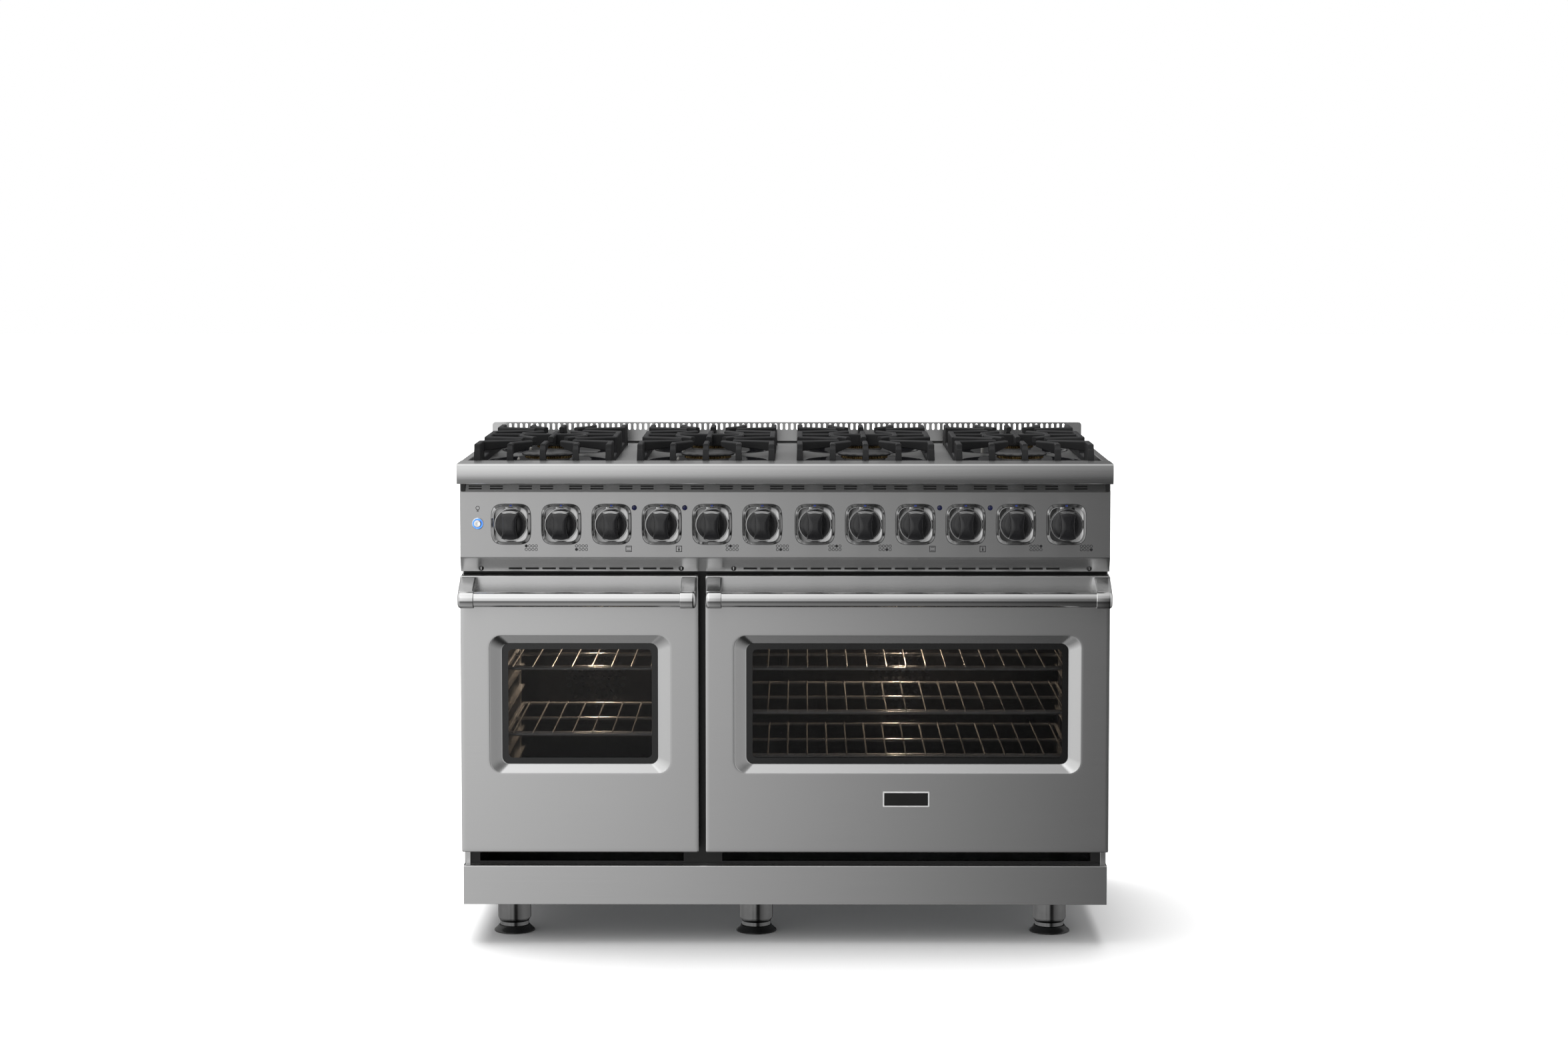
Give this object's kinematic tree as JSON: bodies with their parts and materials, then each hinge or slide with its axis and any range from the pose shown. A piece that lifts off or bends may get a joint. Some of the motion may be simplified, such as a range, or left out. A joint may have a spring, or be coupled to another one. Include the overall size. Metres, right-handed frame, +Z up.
{
  "type": "gas range",
  "caption": "Free-standing gas range: burners under cast iron grates, knobs on a sloped-lip panel, a narrow and a wide oven with drop-down windowed doors, and round legs.",
  "frame": {"origin": "on the floor, below the middle of the outer box", "axes": "+X to the right of a cook facing the range, +Y to the back, +Z up"},
  "size_m": [1.216, 0.732, 0.946],
  "materials": {
    "stainless": "brushed, horizontal grain",
    "stainless_dull": "brushed",
    "galvanised": "galvanised sheet",
    "handle_steel": "polished tube",
    "bright_chrome": "polished",
    "foot_black": "satin",
    "lamp_blue": "gloss lens",
    "burner_aluminium": "cast",
    "burner_brass": "machined",
    "cap_iron": "porcelain enamel, satin",
    "white_ceramic": "glazed ceramic",
    "pipe_black": "satin",
    "valve_brass": "cast",
    "oven_enamel": "speckled porcelain enamel",
    "rack_chrome": "bright wire",
    "motor_grey": "plated",
    "lamp_glass": "clear glass",
    "burner_steel": "aluminised",
    "gasket_black": "woven fibre",
    "blanket": "fibre blanket",
    "fan_steel": "pressed",
    "grate_iron": "satin enamel",
    "knob_black": "gloss",
    "door_glass": "dark tint"
  },
  "bodies": {
    "range_body": {"landing_ledge": "stainless", "control_panel": "stainless", "kick_panel": "stainless", "cooktop_pan": "stainless", "island_trim": "stainless", "leg_tubes": "stainless", "left_side_panel": "stainless_dull", "right_side_panel": "stainless_dull", "rear_panel": "galvanised", "base_pan": "galvanised", "knob_bezels": "bright_chrome", "leg_feet": "foot_black", "indicator_lights": "lamp_blue", "burner_bases": "burner_aluminium", "burner_rings": "burner_brass", "burner_caps": "cap_iron", "igniters": "white_ceramic", "gas_manifold": "pipe_black", "gas_valves": "valve_brass", "left_oven_liner": "oven_enamel", "right_oven_liner": "oven_enamel", "fan_baffles": "oven_enamel", "front_frame": "oven_enamel", "rack_guides": "rack_chrome", "oven_racks": "rack_chrome", "fan_motors": "motor_grey", "oven_lamps": "lamp_glass", "oven_burners": "burner_steel", "door_hinges": "burner_steel", "oven_gaskets": "gasket_black", "oven_insulation": "blanket"},
    "left_door": {"left_door_skin": "stainless", "left_door_liner": "oven_enamel", "left_door_glass": "door_glass", "left_door_handle": "handle_steel", "left_handle_brackets": "handle_steel"},
    "right_door": {"right_door_skin": "stainless", "right_door_liner": "oven_enamel", "right_door_glass": "door_glass", "right_door_handle": "handle_steel", "right_handle_brackets": "handle_steel"},
    "left_fan": {"left_fan": "fan_steel"},
    "right_fan": {"right_fan": "fan_steel"},
    "light_button": {"light_button": "bright_chrome"},
    "grate_1": {"grate_1": "grate_iron"},
    "grate_2": {"grate_2": "grate_iron"},
    "grate_3": {"grate_3": "grate_iron"},
    "grate_4": {"grate_4": "grate_iron"},
    "knob_1": {"knob_1": "knob_black"},
    "knob_2": {"knob_2": "knob_black"},
    "knob_3": {"knob_3": "knob_black"},
    "knob_4": {"knob_4": "knob_black"},
    "knob_5": {"knob_5": "knob_black"},
    "knob_6": {"knob_6": "knob_black"},
    "knob_7": {"knob_7": "knob_black"},
    "knob_8": {"knob_8": "knob_black"},
    "knob_9": {"knob_9": "knob_black"},
    "knob_10": {"knob_10": "knob_black"},
    "knob_11": {"knob_11": "knob_black"},
    "knob_12": {"knob_12": "knob_black"}
  },
  "joints": [
    {"name": "left_door_hinge", "type": "hinge", "parent": "range_body", "child": "left_door", "pos_m": [-0.3845, -0.266, 0.186], "axis": [1, 0, 0], "range_deg": [0, 88], "stiffness_Nm_per_rad": 12, "springref_deg": -8.59},
    {"name": "right_door_hinge", "type": "hinge", "parent": "range_body", "child": "right_door", "pos_m": [0.229, -0.266, 0.186], "axis": [1, 0, 0], "range_deg": [0, 88], "stiffness_Nm_per_rad": 19, "springref_deg": -8.59},
    {"name": "knob_1_turn", "type": "hinge", "parent": "range_body", "child": "knob_1", "pos_m": [-0.511, -0.31, 0.798], "axis": [0, -1, 0], "range_deg": [0, 240]},
    {"name": "knob_2_turn", "type": "hinge", "parent": "range_body", "child": "knob_2", "pos_m": [-0.4173, -0.31, 0.798], "axis": [0, -1, 0], "range_deg": [0, 240]},
    {"name": "knob_3_turn", "type": "hinge", "parent": "range_body", "child": "knob_3", "pos_m": [-0.3236, -0.31, 0.798], "axis": [0, 1, 0], "range_deg": [0, 240]},
    {"name": "knob_4_turn", "type": "hinge", "parent": "range_body", "child": "knob_4", "pos_m": [-0.2299, -0.31, 0.798], "axis": [0, 1, 0], "range_deg": [0, 300]},
    {"name": "knob_5_turn", "type": "hinge", "parent": "range_body", "child": "knob_5", "pos_m": [-0.1362, -0.31, 0.798], "axis": [0, -1, 0], "range_deg": [0, 240]},
    {"name": "knob_6_turn", "type": "hinge", "parent": "range_body", "child": "knob_6", "pos_m": [-0.0425, -0.31, 0.798], "axis": [0, -1, 0], "range_deg": [0, 240]},
    {"name": "knob_7_turn", "type": "hinge", "parent": "range_body", "child": "knob_7", "pos_m": [0.0555, -0.31, 0.798], "axis": [0, -1, 0], "range_deg": [0, 240]},
    {"name": "knob_8_turn", "type": "hinge", "parent": "range_body", "child": "knob_8", "pos_m": [0.1492, -0.31, 0.798], "axis": [0, -1, 0], "range_deg": [0, 240]},
    {"name": "knob_9_turn", "type": "hinge", "parent": "range_body", "child": "knob_9", "pos_m": [0.2429, -0.31, 0.798], "axis": [0, 1, 0], "range_deg": [0, 240]},
    {"name": "knob_10_turn", "type": "hinge", "parent": "range_body", "child": "knob_10", "pos_m": [0.3366, -0.31, 0.798], "axis": [0, 1, 0], "range_deg": [0, 300]},
    {"name": "knob_11_turn", "type": "hinge", "parent": "range_body", "child": "knob_11", "pos_m": [0.4303, -0.31, 0.798], "axis": [0, -1, 0], "range_deg": [0, 240]},
    {"name": "knob_12_turn", "type": "hinge", "parent": "range_body", "child": "knob_12", "pos_m": [0.524, -0.31, 0.798], "axis": [0, -1, 0], "range_deg": [0, 240]},
    {"name": "light_button_push", "type": "slide", "parent": "range_body", "child": "light_button", "axis": [0, 1, 0], "range_m": [0, 0.002], "stiffness_N_per_m": 400, "springref_m": -0.002},
    {"name": "left_fan_spin", "type": "hinge", "parent": "range_body", "child": "left_fan", "pos_m": [-0.3845, 0.2, 0.44], "axis": [0, 1, 0], "continuous": true},
    {"name": "right_fan_spin", "type": "hinge", "parent": "range_body", "child": "right_fan", "pos_m": [0.229, 0.2, 0.44], "axis": [0, 1, 0], "continuous": true},
    {"name": "grate_1_lift", "type": "slide", "parent": "range_body", "child": "grate_1", "axis": [0, 0, 1], "range_m": [0, 0.12]},
    {"name": "grate_2_lift", "type": "slide", "parent": "range_body", "child": "grate_2", "axis": [0, 0, 1], "range_m": [0, 0.12]},
    {"name": "grate_3_lift", "type": "slide", "parent": "range_body", "child": "grate_3", "axis": [0, 0, 1], "range_m": [0, 0.12]},
    {"name": "grate_4_lift", "type": "slide", "parent": "range_body", "child": "grate_4", "axis": [0, 0, 1], "range_m": [0, 0.12]}
  ]
}
